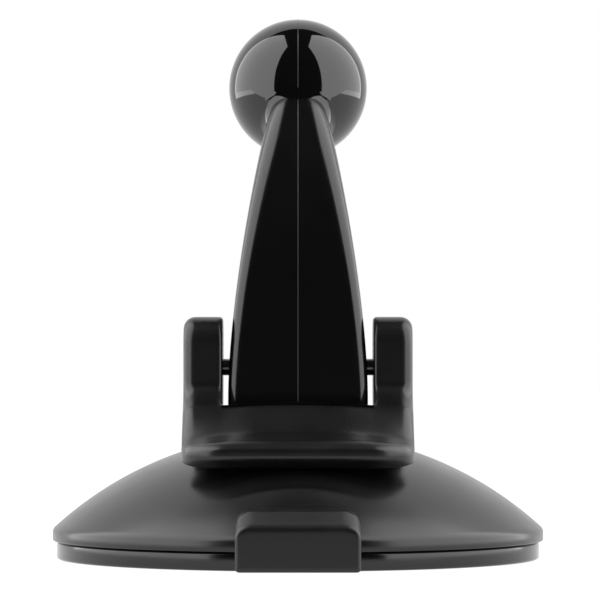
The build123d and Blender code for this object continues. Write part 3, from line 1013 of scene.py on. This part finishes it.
def end_tree(tree, geometry_socket, material):
    """Realizes the instances and sets the material."""
    real = add(tree, "GeometryNodeRealizeInstances", Geometry=geometry_socket)
    painted = add(tree, "GeometryNodeSetMaterial", {"Material": material}, Geometry=real.outputs[0])
    out = tree.nodes.new("NodeGroupOutput")
    tree.links.new(painted.outputs[0], out.inputs[0])


def run_tree(name, tree, values, start_mesh=None):
    """Runs a tree with its inputs set, and returns the result as a plain mesh object."""
    source = bpy.data.objects.new(name + "_source", start_mesh or bpy.data.meshes.new(name + "_start"))
    bpy.context.scene.collection.objects.link(source)
    nodes = source.modifiers.new("tree", "NODES")
    nodes.node_group = tree
    for item in tree.interface.items_tree:
        if item.in_out == "INPUT" and item.name in values:
            nodes[item.identifier] = values[item.name]
    result = evaluated_copy(source, name)
    bpy.data.objects.remove(source)
    return result


# %% [markdown]
# ## The parting line
#
# The arm and its ball are moulded in two halves that meet on the middle plane, and the joint
# leaves a hair of plastic that catches the light. A fine round section follows the front,
# the ball and the back: a Curve to Mesh tree does this for any path.

# %% Parting line
LINE_R = 0.05
line_start = FOOT_SEAT + 3.0
front_path = [tuple(p) for p in arm_front if p[1] > line_start]
back_path = [tuple(p) for p in arm_back if p[1] > line_start]
ball_path = [
    (BALL_C[1] - BALL_R * math.cos(a), BALL_C[2] + BALL_R * math.sin(a))
    for a in np.radians(np.linspace(-2.0, 286.0, 120))
]
line_points, line_edges = [], []
for path_points in (front_path, ball_path, back_path):
    first = len(line_points)
    line_points += [(0.0, y * MM, z * MM) for y, z in path_points]
    line_edges += [(i, i + 1) for i in range(first, len(line_points) - 1)]
line_mesh = bpy.data.meshes.new("parting_path")
line_mesh.from_pydata(line_points, line_edges, [])
line_tree, line_in = new_tree("bead_along_path", ["Bead radius"])
line_curve = add(line_tree, "GeometryNodeMeshToCurve", Mesh=line_in.outputs["Geometry"])
bead_r = line_in.outputs["Bead radius"]
bead = add(line_tree, "GeometryNodeCurvePrimitiveCircle", {"Resolution": 8}, Radius=bead_r)
swept = add(line_tree, "GeometryNodeCurveToMesh", {"Fill Caps": True})
line_tree.links.new(line_curve.outputs[0], swept.inputs["Curve"])
line_tree.links.new(bead.outputs[0], swept.inputs["Profile Curve"])
end_tree(line_tree, swept.outputs[0], arm_pc)
parting_line = run_tree("parting_line", line_tree, {"Bead radius": LINE_R * MM}, line_mesh)
smooth(parting_line, 60.0)
dress(parting_line, arm_pc, "housing", "arm_plastic")

# %% [markdown]
# ## The return spring
#
# A compression spring is a helix of drawn wire. The curve spiral gives its path in one node.
# Its foot rides on the post's washer and its top stays under the crown, and the real coils
# share the travel between them.

# %% Return spring
spring_low, spring_high = box_mm("return_spring")
WIRE_R = 0.3
SPRING_TURNS = 4.0
spring_tree, spring_in = new_tree("wire_helix", ["Mean radius", "Height", "Turns", "Wire radius"])
helix = add(spring_tree, "GeometryNodeCurveSpiral", {"Resolution": 40})
helix_sizes = {
    "Start Radius": "Mean radius",
    "End Radius": "Mean radius",
    "Height": "Height",
    "Rotations": "Turns",
}
for socket, size in helix_sizes.items():
    spring_tree.links.new(spring_in.outputs[size], helix.inputs[socket])
wire_r = spring_in.outputs["Wire radius"]
wire = add(spring_tree, "GeometryNodeCurvePrimitiveCircle", {"Resolution": 14}, Radius=wire_r)
coil = add(spring_tree, "GeometryNodeCurveToMesh", {"Fill Caps": True})
spring_tree.links.new(helix.outputs[0], coil.inputs["Curve"])
spring_tree.links.new(wire.outputs[0], coil.inputs["Profile Curve"])
end_tree(spring_tree, coil.outputs[0], spring_steel)
spring_sizes = {
    "Mean radius": (spring_high[0] - WIRE_R) * MM,
    "Height": (spring_high[2] - spring_low[2] - 2 * WIRE_R) * MM,
    "Turns": SPRING_TURNS,
    "Wire radius": WIRE_R * MM,
}
spring = run_tree("return_spring_coil", spring_tree, spring_sizes)
spring.data.transform(Matrix.Translation((0, 0, (spring_low[2] + WIRE_R) * MM)))
smooth(spring, 50.0)
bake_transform(spring)
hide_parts("return_spring")
print("spring", len(spring.data.polygons), "faces")

# %% [markdown]
# ## Carried-over CAD pieces
#
# The pin, post, core plate, screws and pads have the right shape already, so they only take
# their materials.

# %% CAD nodes
for node, material in {
    "axle_pin": pin_steel,
    "pull_post": post_steel,
    "core_plate": spring_steel,
    "core_screw": screw_steel,
    "spring_washer": spring_steel,
    "arm_screws": screw_steel,
    "cam_pad_right": pad_acetal,
    "cam_pad_left": pad_acetal,
}.items():
    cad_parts[node].data.materials.clear()
    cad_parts[node].data.materials.append(material)
